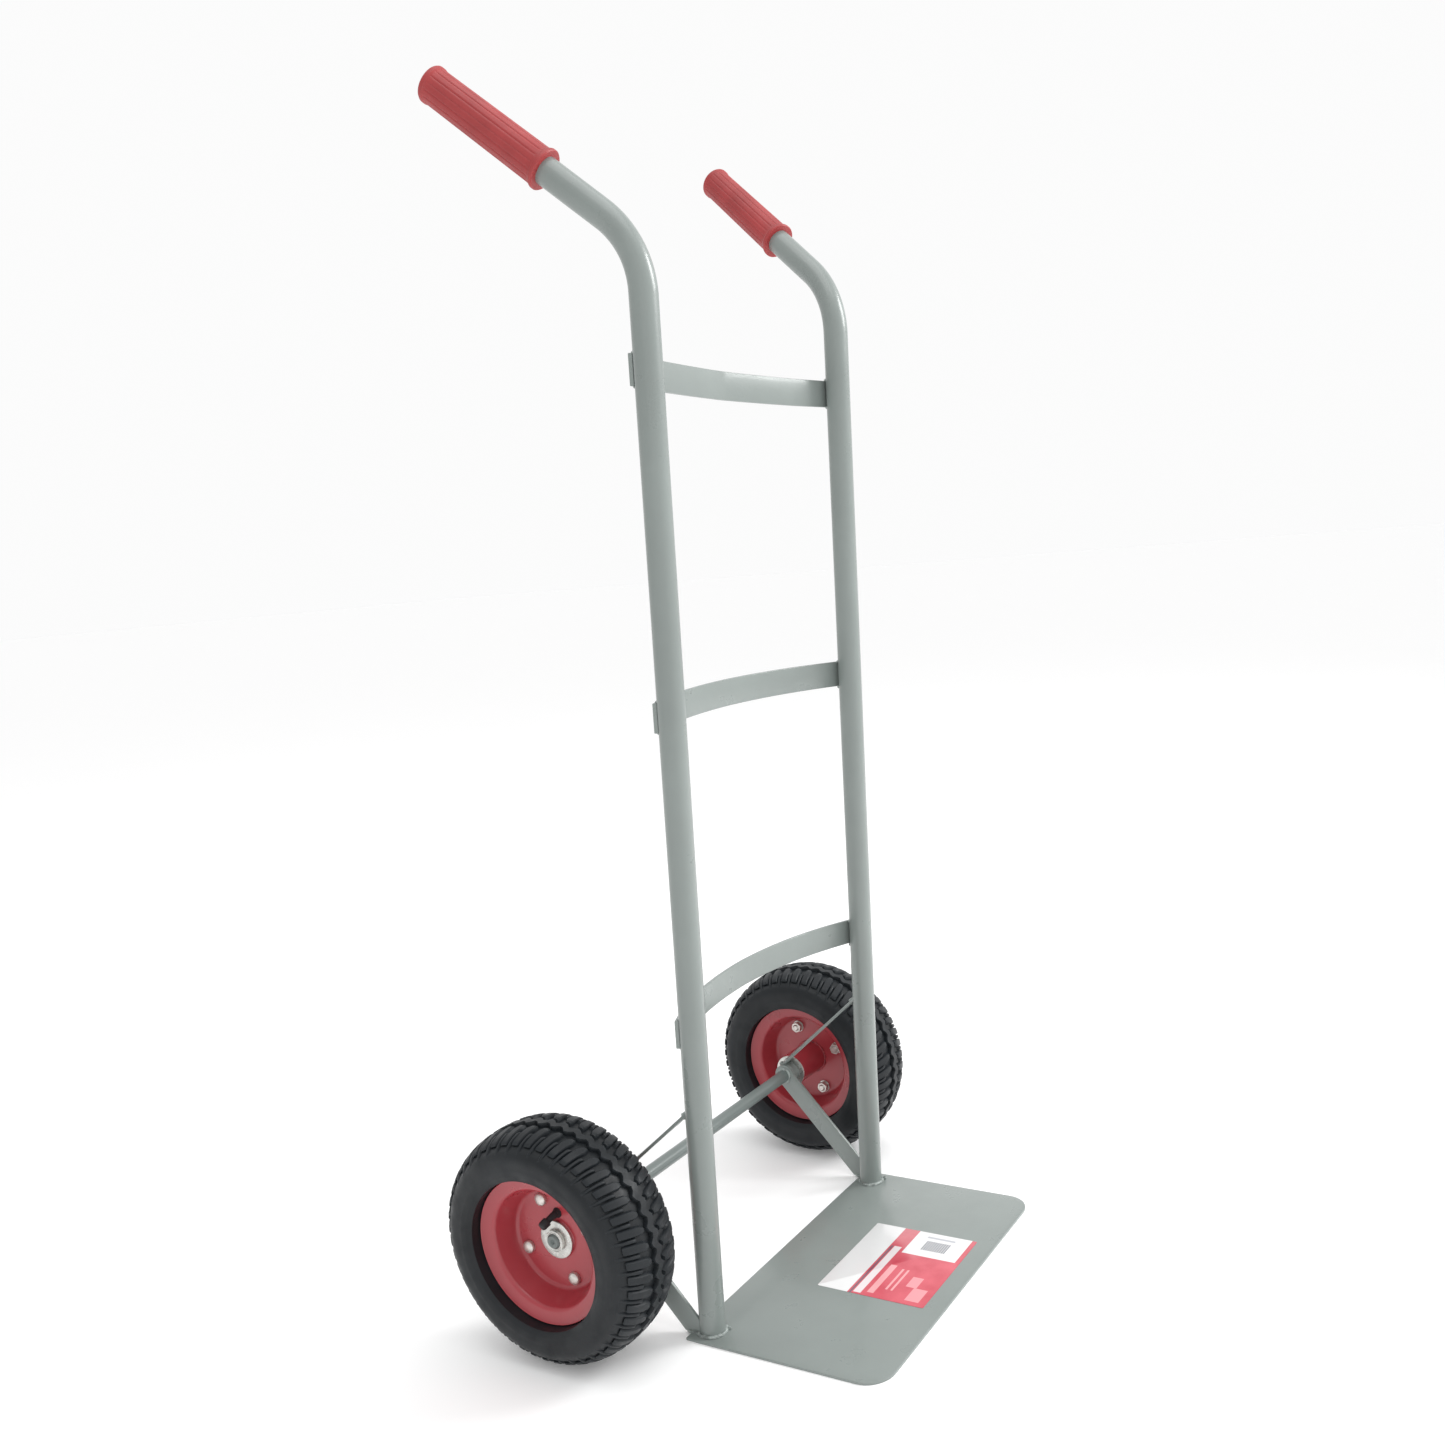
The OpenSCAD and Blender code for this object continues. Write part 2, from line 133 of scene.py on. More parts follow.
def at_tube(side):
    """Foot of a side tube, turned so that the handle's bend lies in the local YZ plane."""
    return shift(side * TUBE_X, 0, 0) @ turn(LEAN, "X") @ turn(-side * SPLAY, "Z")


def at_bend(side, angle):
    """A point along the handle's bend, with local Z along the tube."""
    run = shift(0, BEND_R * (1 - cos(angle)), BEND_START + BEND_R * sin(angle))
    return at_tube(side) @ run @ turn(-angle, "X")


def at_handle(side):
    return at_bend(side, BEND_ANGLE)


def at_wheel(side):
    """Middle of a wheel. Local +Z points outboard, and the bolts line up on both wheels."""
    stop = pi / 2 - 2 * BOLT_ANGLE if side == LEFT else 0
    return shift(side * WHEEL.x, WHEEL.y, WHEEL.z) @ turn(side * pi / 2, "Y") @ turn(stop, "Z")


# ---------------------------------------------------------------- mesh helpers

class Solid:
    """Closed surfaces collected into one mesh, in millimetres."""

    def __init__(self):
        self.points = []
        self.faces = []

    def loft(self, rings, closed=False, place=Matrix()):
        """Joins each closed ring of points to the next. Open lofts get a face at each end."""
        start = len(self.points)
        size = len(rings[0])
        for ring in rings:
            self.points += [place @ Vector(p) for p in ring]
        count = len(rings)
        for i in range(count if closed else count - 1):
            a = start + i * size
            b = start + (i + 1) % count * size
            for j in range(size):
                k = (j + 1) % size
                self.faces.append((a + j, a + k, b + k, b + j))
        if not closed:
            self.faces.append(tuple(range(start, start + size)))
            self.faces.append(tuple(range(start + (count - 1) * size, start + count * size)))

    def lathe(self, outline, segments=64, hollow=True, place=Matrix()):
        """Turns an outline of (radius, z) points about local Z.

        A hollow one is a closed outline off the axis. A solid one starts and ends near radius 0.
        """
        rings = [
            [(r * cos(2 * pi * i / segments), r * sin(2 * pi * i / segments), z)
             for i in range(segments)]
            for r, z in outline
        ]
        self.loft(rings, closed=hollow, place=place)

    def sweep(self, section, frames, closed=False):
        """Moves a closed section of (x, y) points through a list of placements."""
        self.loft([[m @ Vector((x, y, 0)) for x, y in section] for m in frames], closed)

    def object(self, name, material, body, replaced=(), sharp=32):
        mesh = bpy.data.meshes.new(name)
        mesh.from_pydata([p * 0.001 for p in self.points], [], self.faces)
        work = bmesh.new()
        work.from_mesh(mesh)
        bmesh.ops.recalc_face_normals(work, faces=work.faces)
        work.to_mesh(mesh)
        work.free()
        mesh.shade_smooth()
        mesh.set_sharp_from_angle(angle=radians(sharp))
        mesh.materials.append(material)
        piece = bpy.data.objects.new(name, mesh)
        bpy.context.scene.collection.objects.link(piece)
        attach(piece, body)
        if replaced:
            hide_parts(*replaced)
        return piece


def circle(radius, count=48):
    return [(radius * cos(2 * pi * i / count), radius * sin(2 * pi * i / count))
            for i in range(count)]


def rounded(points, radius, steps=4, closed=True):
    """The same outline with its corners rounded. radius is one number or one for each point."""
    count = len(points)
    radii = radius if isinstance(radius, (list, tuple)) else [radius] * count
    out = []
    for i, point in enumerate(points):
        here = Vector(point)
        if radii[i] <= 0 or (not closed and i in (0, count - 1)):
            out.append(tuple(here))
            continue
        back = Vector(points[i - 1]) - here
        ahead = Vector(points[(i + 1) % count]) - here
        opening = back.angle(ahead)
        if opening > pi - 0.02:
            out.append(tuple(here))
            continue
        reach = min(radii[i] / tan(opening / 2), 0.48 * back.length, 0.48 * ahead.length)
        bend_r = reach * tan(opening / 2)
        back.normalize()
        ahead.normalize()
        middle = here + (back + ahead).normalized() * (bend_r / sin(opening / 2))
        start = here + back * reach - middle
        end = here + ahead * reach - middle
        for k in range(steps + 1):
            t = k / steps
            spread = pi - opening
            blend = start * sin((1 - t) * spread) + end * sin(t * spread)
            out.append(tuple(middle + blend / sin(spread)))
    return out


def bar_section(width, thickness, edge=0.7, steps=3):
    w = width / 2
    t = thickness / 2
    return rounded([(-w, -t), (w, -t), (w, t), (-w, t)], edge, steps)


def ring_outline(outer, inner, low, high, edge=0.4):
    return rounded([(inner, low), (outer, low), (outer, high), (inner, high)], edge, 3)


def sheet_outline(line, thickness):
    """Outline of a bent sheet, from the line along its middle."""
    normals = []
    for i in range(len(line)):
        before = Vector(line[i]) - Vector(line[max(i - 1, 0)])
        after = Vector(line[min(i + 1, len(line) - 1)]) - Vector(line[i])
        along = (before.normalized() + after.normalized()).normalized()
        normals.append(Vector((-along.y, along.x)))
    upper = [Vector(p) + n * thickness / 2 for p, n in zip(line, normals)]
    lower = [Vector(p) - n * thickness / 2 for p, n in zip(line, normals)]
    return [tuple(p) for p in upper + lower[::-1]]


def plate(solid, outline, low, high, edge=0.5, place=Matrix()):
    """A flat plate from an outline, with rounded upper and lower edges."""
    turning = 1 if signed_area(outline) > 0 else -1
    rings = []
    for inset, z in ((edge, low), (edge * 0.3, low + edge * 0.3), (0, low + edge),
                     (0, high - edge), (edge * 0.3, high - edge * 0.3), (edge, high)):
        ring = []
        for i, point in enumerate(outline):
            along = Vector(outline[(i + 1) % len(outline)]) - Vector(outline[i - 1])
            inward = Vector((-along.y, along.x)).normalized() * turning
            ring.append((*(Vector(point) + inward * inset), z))
        rings.append(ring)
    solid.loft(rings, place=place)


def signed_area(outline):
    total = 0
    for i, (x, y) in enumerate(outline):
        total += outline[i - 1][0] * y - x * outline[i - 1][1]
    return total / 2


def ripple(index, seed):
    """A repeatable uneven number, from -1 to 2."""
    value = sin(index * 12.9898 + seed * 78.233) * 43758.5453
    return 2 * (value - int(value)) if value > 0 else 2 * (value - int(value)) + 1


def bead(solid, path, radius, seed=1, pitch=2.2, closed=False):
    """A weld bead along a path: overlapping ripples, tapered where it starts and stops."""
    points = [Vector(p) for p in path]
    stations = []
    total = 0
    for i in range(len(points) - (0 if closed else 1)):
        a = points[i]
        b = points[(i + 1) % len(points)]
        steps = max(1, round((b - a).length / (pitch / 4)))
        for k in range(steps):
            stations.append((a.lerp(b, k / steps), total + (b - a).length * k / steps))
        total += (b - a).length
    if not closed:
        stations.append((points[-1], total))
    rings = []
    for i, (point, along) in enumerate(stations):
        after = stations[(i + 1) % len(stations)][0] if closed or i + 1 < len(stations) else point
        before = stations[i - 1][0] if closed or i > 0 else point
        heading = (after - before).normalized()
        across = heading.orthogonal() if abs(heading.z) > 0.9 else heading.cross((0, 0, 1))
        across.normalize()
        up = heading.cross(across)
        wave = abs(sin(pi * along / pitch)) ** 0.6
        size = radius * (0.8 + 0.2 * wave + 0.07 * ripple(int(along / pitch), seed))
        if not closed:
            size *= sqrt(max(0.06, min(1, along / radius, (total - along) / radius)))
        rings.append([point + across * x + up * y for x, y in circle(size, 10)])
    solid.loft(rings, closed=closed)


# ---------------------------------------------------------------- materials

class Look:
    """A procedural material. Textures use object coordinates, which are the frame's metres."""

    def __init__(self, name, colour, roughness, metallic=0.0, coat=0.0, specular=0.5):
        self.material = bpy.data.materials.new(name)
        self.material.use_nodes = True
        self.nodes = self.material.node_tree.nodes
        self.links = self.material.node_tree.links
        self.shader = self.nodes["Principled BSDF"]
        self.coords = self.nodes.new("ShaderNodeTexCoord").outputs["Object"]
        self.shader.inputs["Base Color"].default_value = (*colour, 1)
        self.shader.inputs["Roughness"].default_value = roughness
        self.shader.inputs["Metallic"].default_value = metallic
        self.shader.inputs["Specular IOR Level"].default_value = specular
        self.shader.inputs["Coat Weight"].default_value = coat
        self.shader.inputs["Coat Roughness"].default_value = 0.12
        self.height = None

    def noise(self, scale, detail=3.0, stretch=(1, 1, 1), rough=0.55):
        mapping = self.nodes.new("ShaderNodeMapping")
        mapping.inputs["Scale"].default_value = stretch
        self.links.new(self.coords, mapping.inputs["Vector"])
        node = self.nodes.new("ShaderNodeTexNoise")
        node.inputs["Scale"].default_value = scale
        node.inputs["Detail"].default_value = detail
        node.inputs["Roughness"].default_value = rough
        self.links.new(mapping.outputs["Vector"], node.inputs["Vector"])
        return node.outputs["Fac"]

    def span(self, value, low, high, to_low, to_high):
        node = self.nodes.new("ShaderNodeMapRange")
        for name, number in (("From Min", low), ("From Max", high),
                             ("To Min", to_low), ("To Max", to_high)):
            node.inputs[name].default_value = number
        self.links.new(value, node.inputs["Value"])
        return node.outputs["Result"]

    def math(self, kind, a, b=0.0, c=0.0):
        node = self.nodes.new("ShaderNodeMath")
        node.operation = kind
        for socket, value in zip(node.inputs, (a, b, c)):
            if isinstance(value, (int, float)):
                socket.default_value = value
            else:
                self.links.new(value, socket)
        return node.outputs["Value"]

    def mix(self, factor, a, b):
        node = self.nodes.new("ShaderNodeMix")
        node.data_type = "RGBA"
        self.links.new(factor, node.inputs["Factor"])
        for socket, value in ((node.inputs[6], a), (node.inputs[7], b)):
            if isinstance(value, tuple):
                socket.default_value = (*value, 1)
            else:
                self.links.new(value, socket)
        return node.outputs[2]

    def colour(self, value):
        self.links.new(value, self.shader.inputs["Base Color"])

    def roughness(self, value):
        self.links.new(value, self.shader.inputs["Roughness"])

    def bump(self, value, strength, distance):
        node = self.nodes.new("ShaderNodeBump")
        node.inputs["Strength"].default_value = strength
        node.inputs["Distance"].default_value = distance
        self.links.new(value, node.inputs["Height"])
        if self.height is not None:
            self.links.new(self.height, node.inputs["Normal"])
        self.height = node.outputs["Normal"]
        self.links.new(self.height, self.shader.inputs["Normal"])

    def edge_highlight(self):
        """Painted highlight mask: 1 on convex edges, 0 elsewhere, from the shape itself."""
        geometry = self.nodes.new("ShaderNodeNewGeometry")
        return self.span(geometry.outputs["Pointiness"], 0.52, 0.62, 0, 1)


def shade(colour, factor):
    return tuple(min(1.0, c * factor) for c in colour)


def powder_coat(name, colour, roughness=0.3, coat=0.25, peel=260):
    """Sprayed paint over steel: a faint orange peel, hazy patches and a painted highlight on the edges.
    """
    look = Look(name, colour, roughness, coat=coat)
    patches = look.span(look.noise(7, 4), 0.3, 0.7, 0, 1)
    body = look.mix(patches, shade(colour, 0.93), shade(colour, 1.06))
    specks = look.span(look.noise(900, 2), 0.68, 0.78, 0, 0.12)
    body = look.mix(specks, body, shade(colour, 0.6))
    # painted highlight: convex edges lightened toward a lit copy of the paint colour
    look.colour(look.mix(look.math("MULTIPLY", look.edge_highlight(), 0.35), body, shade(colour, 1.5)))
    look.roughness(look.span(look.noise(22, 5), 0.3, 0.7, roughness - 0.05, roughness + 0.09))
    look.bump(look.noise(peel, 2), 0.12, 0.0004)
    look.bump(look.noise(30, 2), 0.05, 0.002)
    return look.material


def weld_paint(name, colour):
    """Paint over a weld: painted highlights and shade in noise patches, standing for light on the
    bead's crests, with spatter.
    """
    look = Look(name, colour, 0.32, coat=0.3)
    # painted highlight and shade: noise patches lightened to 1.7 and darkened to 0.8 of the paint
    # colour
    painted_crest_light = look.span(look.noise(180, 4), 0.4, 0.65, 0, 1)
    look.colour(look.mix(painted_crest_light, shade(colour, 0.8), shade(colour, 1.7)))
    look.bump(look.noise(420, 4), 0.5, 0.0006)
    return look.material


def zinc_plate(name, colour, roughness=0.3):
    """Bright zinc: fine brushed lines and cloudy patches."""
    look = Look(name, colour, roughness, metallic=0.85)
    clouds = look.span(look.noise(120, 4), 0.3, 0.7, 0, 1)
    look.colour(look.mix(clouds, shade(colour, 0.82), shade(colour, 1.12)))
    look.roughness(look.span(look.noise(260, 3), 0.3, 0.7, roughness - 0.08, roughness + 0.14))
    look.bump(look.noise(900, 2, stretch=(1, 1, 0.15)), 0.12, 0.0002)
    return look.material


def tyre_rubber(name, colour):
    """Tyre compound: greyer dusty patches, a painted highlight on the lug edges, fine mould grain."""
    look = Look(name, colour, 0.5, specular=0.32)
    dust = look.span(look.noise(18, 5), 0.35, 0.75, 0, 1)
    body = look.mix(dust, colour, shade(colour, 1.45))
    # painted highlight: convex edges of the tread lightened to twice the rubber colour
    look.colour(look.mix(look.edge_highlight(), body, shade(colour, 2.0)))
    look.roughness(look.span(look.noise(60, 4), 0.3, 0.7, 0.36, 0.6))
    look.bump(look.noise(700, 3), 0.22, 0.0004)
    look.bump(look.noise(90, 3), 0.1, 0.0006)
    return look.material


def moulded(name, colour, roughness, grain=600, depth=0.2):
    """Moulded rubber or plastic, with a satin grain, faint handling marks and a painted highlight on
    the edges.
    """
    look = Look(name, colour, roughness, specular=0.42)
    marks = look.span(look.noise(26, 5), 0.3, 0.75, 0, 1)
    body = look.mix(marks, shade(colour, 0.86), shade(colour, 1.16))
    # painted highlight: convex edges lightened toward a lit copy of the colour
    look.colour(look.mix(look.math("MULTIPLY", look.edge_highlight(), 0.5), body, shade(colour, 1.45)))
    look.roughness(look.span(look.noise(45, 4), 0.3, 0.7, roughness - 0.08, roughness + 0.1))
    look.bump(look.noise(grain, 3), depth, 0.0003)
    return look.material


def label_print():
    """Printed vinyl: plain bands, bars and panels, with no lettering."""
    look = Look("label_print", (0.60, 0.09, 0.12), 0.24, coat=0.6)
    split = look.nodes.new("ShaderNodeSeparateXYZ")
    look.links.new(look.coords, split.inputs["Vector"])
    width = (LABEL_HIGH.x - LABEL_LOW.x) / 1000
    depth = (LABEL_HIGH.y - LABEL_LOW.y) / 1000
    # u runs along +X, v runs forward from the label's back edge, both from 0 to 1
    u = look.span(split.outputs["X"], LABEL_LOW.x / 1000, LABEL_LOW.x / 1000 + width, 0, 1)
    v = look.span(split.outputs["Y"], LABEL_HIGH.y / 1000, LABEL_HIGH.y / 1000 - depth, 0, 1)

    def inside(value, low, high):
        middle = (low + high) / 2
        away = look.math("ABSOLUTE", look.math("SUBTRACT", value, middle))
        return look.span(away, (high - low) / 2 - 0.002, (high - low) / 2 + 0.002, 1, 0)

    def panel(u_low, u_high, v_low, v_high):
        return look.math("MULTIPLY", inside(u, u_low, u_high), inside(v, v_low, v_high))

    ink = look.mix(look.span(look.noise(40, 3), 0.3, 0.7, 0, 1),
                   (0.56, 0.060, 0.090), (0.66, 0.100, 0.135))
    white = (0.80, 0.80, 0.80)
    pink = (0.80, 0.36, 0.38)
    ink = look.mix(panel(-0.1, 1.1, -0.1, 0.29), ink, white)
    ink = look.mix(panel(-0.1, 0.72, 0.305, 0.325), ink, (0.20, 0.10, 0.14))
    ink = look.mix(panel(0.02, 0.72, 0.335, 0.405), ink, (0.78, 0.70, 0.71))
    ink = look.mix(panel(0.05, 0.46, 0.45, 0.51), ink, pink)
    ink = look.mix(panel(0.13, 0.43, 0.575, 0.595), ink, pink)
    ink = look.mix(panel(0.13, 0.43, 0.625, 0.645), ink, pink)
    ink = look.mix(panel(0.22, 0.36, 0.72, 0.82), ink, (0.76, 0.30, 0.33))
    ink = look.mix(panel(0.05, 0.22, 0.80, 0.93), ink, (0.76, 0.30, 0.33))
    ink = look.mix(panel(0.65, 1.1, 0.44, 0.955), ink, white)
    stripes = look.math("FRACT", look.math("MULTIPLY", v, 46.0))
    stripes = look.span(stripes, 0.45, 0.55, 0.35, 0.9)
    block = look.math("MULTIPLY", panel(0.74, 0.88, 0.575, 0.805), stripes)
    ink = look.mix(block, ink, (0.10, 0.11, 0.14))
    ink = look.mix(panel(0.92, 0.945, 0.55, 0.82), ink, (0.45, 0.46, 0.50))
    look.colour(ink)
    look.bump(look.noise(35, 2), 0.15, 0.0006)
    return look.material


GREY = (0.232, 0.262, 0.250)
AXLE_GREY = (0.150, 0.178, 0.170)
RED = (0.400, 0.042, 0.055)
GRIP_RED = (0.350, 0.042, 0.043)

paint = powder_coat("frame_paint", GREY)
axle_paint = powder_coat("axle_paint", AXLE_GREY, 0.34)
weld = weld_paint("weld_paint", GREY)
rim_paint = powder_coat("rim_paint", RED, 0.3, 0.3)
rim_weld = weld_paint("rim_weld_paint", shade(RED, 0.8))
grip_rubber = moulded("grip_rubber", GRIP_RED, 0.46)
rubber = tyre_rubber("tyre_rubber", (0.0085, 0.0105, 0.0125))
tube_rubber = moulded("inner_tube_rubber", (0.028, 0.028, 0.030), 0.6)
zinc = zinc_plate("zinc", (0.66, 0.66, 0.63))
bolt_zinc = zinc_plate("bolt_zinc", (0.74, 0.70, 0.66), 0.38)
steel = zinc_plate("bearing_steel", (0.60, 0.60, 0.60), 0.2)
cage_plastic = moulded("bearing_plastic", (0.50, 0.45, 0.30), 0.5)
seal_rubber = moulded("seal_rubber", (0.036, 0.036, 0.040), 0.5)
valve_rubber = moulded("valve_rubber", (0.022, 0.022, 0.024), 0.55)
cap_plastic = moulded("cap_plastic", (0.020, 0.020, 0.022), 0.4)


# ---------------------------------------------------------------- camera, light and floor

def make_camera():
    data = bpy.data.cameras.new("camera")
    data.sensor_width = 36
    data.lens = 33.55
    data.shift_x = -0.0830
    data.shift_y = 0.0388
    forward = Vector((0.85779, 0.48678, -0.16506))
    up = Vector((0.18357, 0.00983, 0.98296))
    right = forward.cross(up).normalized()
    up = right.cross(forward)
    axes = Matrix((right, up, -forward)).transposed()
    camera = bpy.data.objects.new("camera", data)
    camera.matrix_world = Matrix.Translation((-1.2501, -0.8206, 0.8141)) @ axes.to_4x4()
    bpy.context.scene.collection.objects.link(camera)
    bpy.context.scene.camera = camera


def area_light(name, place, target, size, power, colour=(1, 1, 1)):
    data = bpy.data.lights.new(name, "AREA")
    data.shape = "RECTANGLE"
    data.size, data.size_y = size
    data.energy = power
    data.color = colour
    light = bpy.data.objects.new(name, data)
    light.location = place
    aim = Vector(target) - Vector(place)
    light.rotation_euler = aim.to_track_quat("-Z", "Y").to_euler()
    bpy.context.scene.collection.objects.link(light)


def make_world():
    """White all round, greyer toward the truck's far left, which shades one side of the tubes."""
    world = bpy.data.worlds.new("studio")
    world.use_nodes = True
    nodes = world.node_tree.nodes
    links = world.node_tree.links
    direction = nodes.new("ShaderNodeTexCoord").outputs["Generated"]
    toward_grey = nodes.new("ShaderNodeVectorMath")
    toward_grey.operation = "DOT_PRODUCT"
    toward_grey.inputs[1].default_value = (-0.75, 0.66, 0.0)
    links.new(direction, toward_grey.inputs[0])
    brightness = nodes.new("ShaderNodeMapRange")
    for name, number in (("From Min", 0.4), ("From Max", 0.75), ("To Min", 0.97), ("To Max", 0.62)):
        brightness.inputs[name].default_value = number
    links.new(toward_grey.outputs["Value"], brightness.inputs["Value"])
    nodes["Background"].inputs["Color"].default_value = (1, 1, 1, 1)
    links.new(brightness.outputs["Result"], nodes["Background"].inputs["Strength"])
    bpy.context.scene.world = world


FLOOR_REACH = 60


def make_studio():
    make_world()
    bpy.context.scene.view_settings.view_transform = "Standard"
    area_light("key", (2.0, -2.4, 2.3), (0, 0, 0.5), (1.4, 1.4), 70)
    area_light("top", (-0.4, -0.6, 3.4), (0, 0, 0.2), (2.4, 2.4), 26)
    mesh = bpy.data.meshes.new("floor")
    reach = FLOOR_REACH
    corners = [(-reach, -reach, 0), (reach, -reach, 0), (reach, reach, 0), (-reach, reach, 0)]
    mesh.from_pydata(corners, [], [(0, 1, 2, 3)])
    look = Look("floor", (0.94, 0.94, 0.94), 0.8, specular=0.1)
    look.colour(look.mix(look.noise(3, 3), (0.93, 0.93, 0.93), (0.95, 0.95, 0.95)))
    look.shader.inputs["Emission Color"].default_value = (1, 1, 1, 1)
    look.shader.inputs["Emission Strength"].default_value = 0.11
    mesh.materials.append(look.material)
    floor = bpy.data.objects.new("floor", mesh)
    bpy.context.scene.collection.objects.link(floor)


# ---------------------------------------------------------------- side tubes and grips

def make_side_tube(side, word):
    rings = []
    foot = at_tube(side)
    axis = foot.to_3x3() @ Vector((0, 0, 1))
    start = [foot @ Vector((x, y, 0)) for x, y in circle(TUBE_R)]
    rings.append([p + axis * ((PLATE_TOP - p.z) / axis.z) for p in start])
    for i in range(1, 25):
        rings.append([foot @ Vector((x, y, BEND_START * i / 24)) for x, y in circle(TUBE_R)])
    steps = 26
    for i in range(1, steps + 1):
        place = at_bend(side, BEND_ANGLE * i / steps)
        flat = 0.5 * sin(pi * i / steps)
        rings.append([place @ Vector((x, y * (TUBE_R - flat) / TUBE_R, 0))
                      for x, y in circle(TUBE_R)])
    place = at_handle(side)
    for z in (20, 40, 60, HANDLE_LENGTH - GRIP_LENGTH + GRIP_BORE - 1):
        rings.append([place @ Vector((x, y, z)) for x, y in circle(TUBE_R)])
    solid = Solid()
    solid.loft(rings)
    solid.object("visual_side_tube_" + word, paint, FRAME, ["side_tube_" + word])


def grip_profile(z):
    """Radius of the grip at a distance from its inner end, and how strong its flats are there."""
    inner = TUBE_R + 5
    outer = TUBE_R + 3.8
    marks = (
        (0.0, TUBE_R + 5.7, 0), (1.0, TUBE_R + 6.5, 0), (3.2, TUBE_R + 6.5, 0),
        (4.2, TUBE_R + 6.1, 0), (5.2, TUBE_R + 5.3, 0), (7.0, inner, 0.5), (10.0, inner - 0.1, 1),
        (GRIP_LENGTH - 11, outer, 1), (GRIP_LENGTH - 7.5, outer, 0.4),
        (GRIP_LENGTH - 6, outer + 0.6, 0), (GRIP_LENGTH - 3, outer + 0.6, 0),
        (GRIP_LENGTH - 1.6, outer - 0.3, 0), (GRIP_LENGTH - 0.6, outer - 2, 0),
        (GRIP_LENGTH, outer - 5, 0),
    )
    for (z0, r0, f0), (z1, r1, f1) in zip(marks, marks[1:]):
        if z <= z1:
            t = (z - z0) / (z1 - z0)
            return r0 + (r1 - r0) * t, f0 + (f1 - f0) * t
    return marks[-1][1:]


def make_grip(side, word):
    flats = 16
    per_flat = 8
    count = flats * per_flat
    places = [0, 0.5, 1, 2, 3.2, 3.8, 4.2, 4.7, 5.2, 6, 7, 8.5, 10]
    places += [10 + (GRIP_LENGTH - 21) * i / 20 for i in range(1, 21)]
    places += [GRIP_LENGTH - d for d in (9, 7.5, 6.7, 6, 4.5, 3, 2.3, 1.6, 1, 0.6, 0.2, 0)]
    bore = circle(TUBE_R, count)
    rings = [[(x, y, 0.0) for x, y in bore]]
    for z in places:
        radius, strength = grip_profile(z)
        ring = []
        for i in range(count):
            angle = 2 * pi * i / count
            within = (i % per_flat) / per_flat - 0.5
            flat = cos(pi / flats) / cos(within * 2 * pi / flats)
            groove = 0.9 if i % per_flat == 0 else 0.25 if i % per_flat in (1, per_flat - 1) else 0
            r = radius * (1 + (flat - 1) * strength) - groove * strength
            ring.append((r * cos(angle), r * sin(angle), z))
        rings.append(ring)
    rings.append([(x * 0.45, y * 0.45, GRIP_LENGTH) for x, y in bore])
    rings.append([(x * 0.1, y * 0.1, GRIP_LENGTH) for x, y in bore])
    rings.append([(x * 0.1, y * 0.1, GRIP_BORE) for x, y in bore])
    rings.append([(x, y, GRIP_BORE) for x, y in bore])
    solid = Solid()
    solid.loft(rings, closed=True, place=at_handle(side) @ shift(0, 0, HANDLE_LENGTH - GRIP_LENGTH))
    solid.object("visual_grip_" + word, grip_rubber, FRAME, ["grip_" + word], 24)


# ---------------------------------------------------------------- crossbars

def bar_arc(bow):
    """Distance of the arc's centre in front of the tubes, its inner radius and its half angle."""
    sagitta = bow - TUBE_R
    centre = (TUBE_X ** 2 - sagitta ** 2) / (2 * sagitta)
    return centre, centre + bow, atan(TUBE_X / centre) + radians(0.35)


def make_crossbar(name, height, bow):
    centre, inner, half_angle = bar_arc(bow)
    tilt = turn(LEAN, "X") @ shift(0, -centre, height / cos(LEAN))
    folds = (-1, -0.64, 0.02, 0.66, 1) if name == "upper" else (-1, -0.5, 0, 0.5, 1)
    softness = 0.55 if name == "upper" else 0.12
    frames = []
    steps = 96
    for i in range(steps + 1):
        at = -1 + 2 * i / steps
        low, high = next((a, b) for a, b in zip(folds, folds[1:]) if at <= b)
        middle = (low + high) / 2 * half_angle
        chord = inner * cos((high - low) / 2 * half_angle) / cos(at * half_angle - middle)
        radius = inner + softness * (chord - inner) + BAR_THICKNESS / 2
        angle = at * half_angle
        place = tilt @ turn(-angle, "Z") @ shift(0, radius, 0)
        # the section's X lies along the bar's height and its Y across the thickness
        frames.append(place @ Matrix(((0, 0, 1, 0), (0, 1, 0, 0), (-1, 0, 0, 0), (0, 0, 0, 1))))
    solid = Solid()
    solid.sweep(bar_section(BAR_HEIGHT, BAR_THICKNESS, 0.8), frames)
    solid.object("visual_crossbar_" + name, paint, FRAME, ["crossbar_" + name], 40)


def make_bar_welds():
    """A fillet along the upper and lower edge of each bar end, where it meets the tube's back."""
    for name, height, bow in BARS:
        solid = Solid()
        for side in (LEFT, RIGHT):
            for edge in (-1, 1):
                level = height / cos(LEAN) + edge * (BAR_HEIGHT / 2 + 0.4)
                path = []
                for k in range(7):
                    around = radians(62 + 56 * k / 6)
                    x = side * TUBE_X + (TUBE_R + 0.3) * cos(around)
                    path.append(turn(LEAN, "X") @ Vector((x, (TUBE_R + 0.3) * sin(around), level)))
                bead(solid, path, 1.9, seed=height + edge + side)
        solid.object("weld_crossbar_" + name, weld, FRAME, sharp=60)


# ---------------------------------------------------------------- toe plate and label

def plate_outline(low, high, front_corner, back_corner, steps=10):
    corners = [(low.x, low.y), (high.x, low.y), (high.x, high.y), (low.x, high.y)]
    return rounded(corners, [front_corner, front_corner, back_corner, back_corner], steps)


def make_toe_plate():
    solid = Solid()
    plate(solid, plate_outline(PLATE_LOW, PLATE_HIGH, 30, 1.2), PLATE_LOW.z, PLATE_HIGH.z, 0.6)
    solid.object("visual_toe_plate", paint, FRAME, ["toe_plate"])


